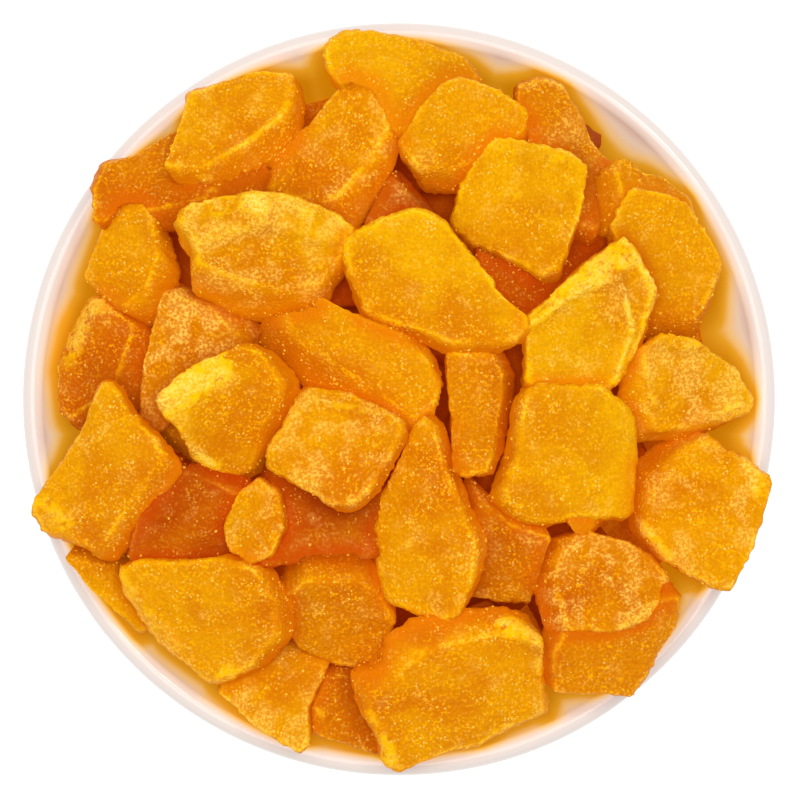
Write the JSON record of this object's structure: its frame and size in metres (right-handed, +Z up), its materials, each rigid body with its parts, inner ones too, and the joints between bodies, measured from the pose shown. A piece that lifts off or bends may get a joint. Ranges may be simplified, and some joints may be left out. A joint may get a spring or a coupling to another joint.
{
  "type": "bowl of diced dried peach",
  "caption": "Round white bowl on a foot ring, heaped above its rim with sugared chunks of dried peach, flat and roughly four-sided, lying over one another.",
  "frame": {"origin": "on the ground, under the middle of the bowl", "axes": "+Z up along the bowl's axis, +Y towards the top of the picture, +X towards its right"},
  "size_m": [0.151, 0.151, 0.0843],
  "materials": {
    "white_glaze": "glossy white glaze",
    "dried_peach": "translucent orange flesh frosted with fine sugar"
  },
  "bodies": {
    "root": {"bowl": "white_glaze", "diced_dried_peach": "dried_peach"}
  },
  "joints": []
}
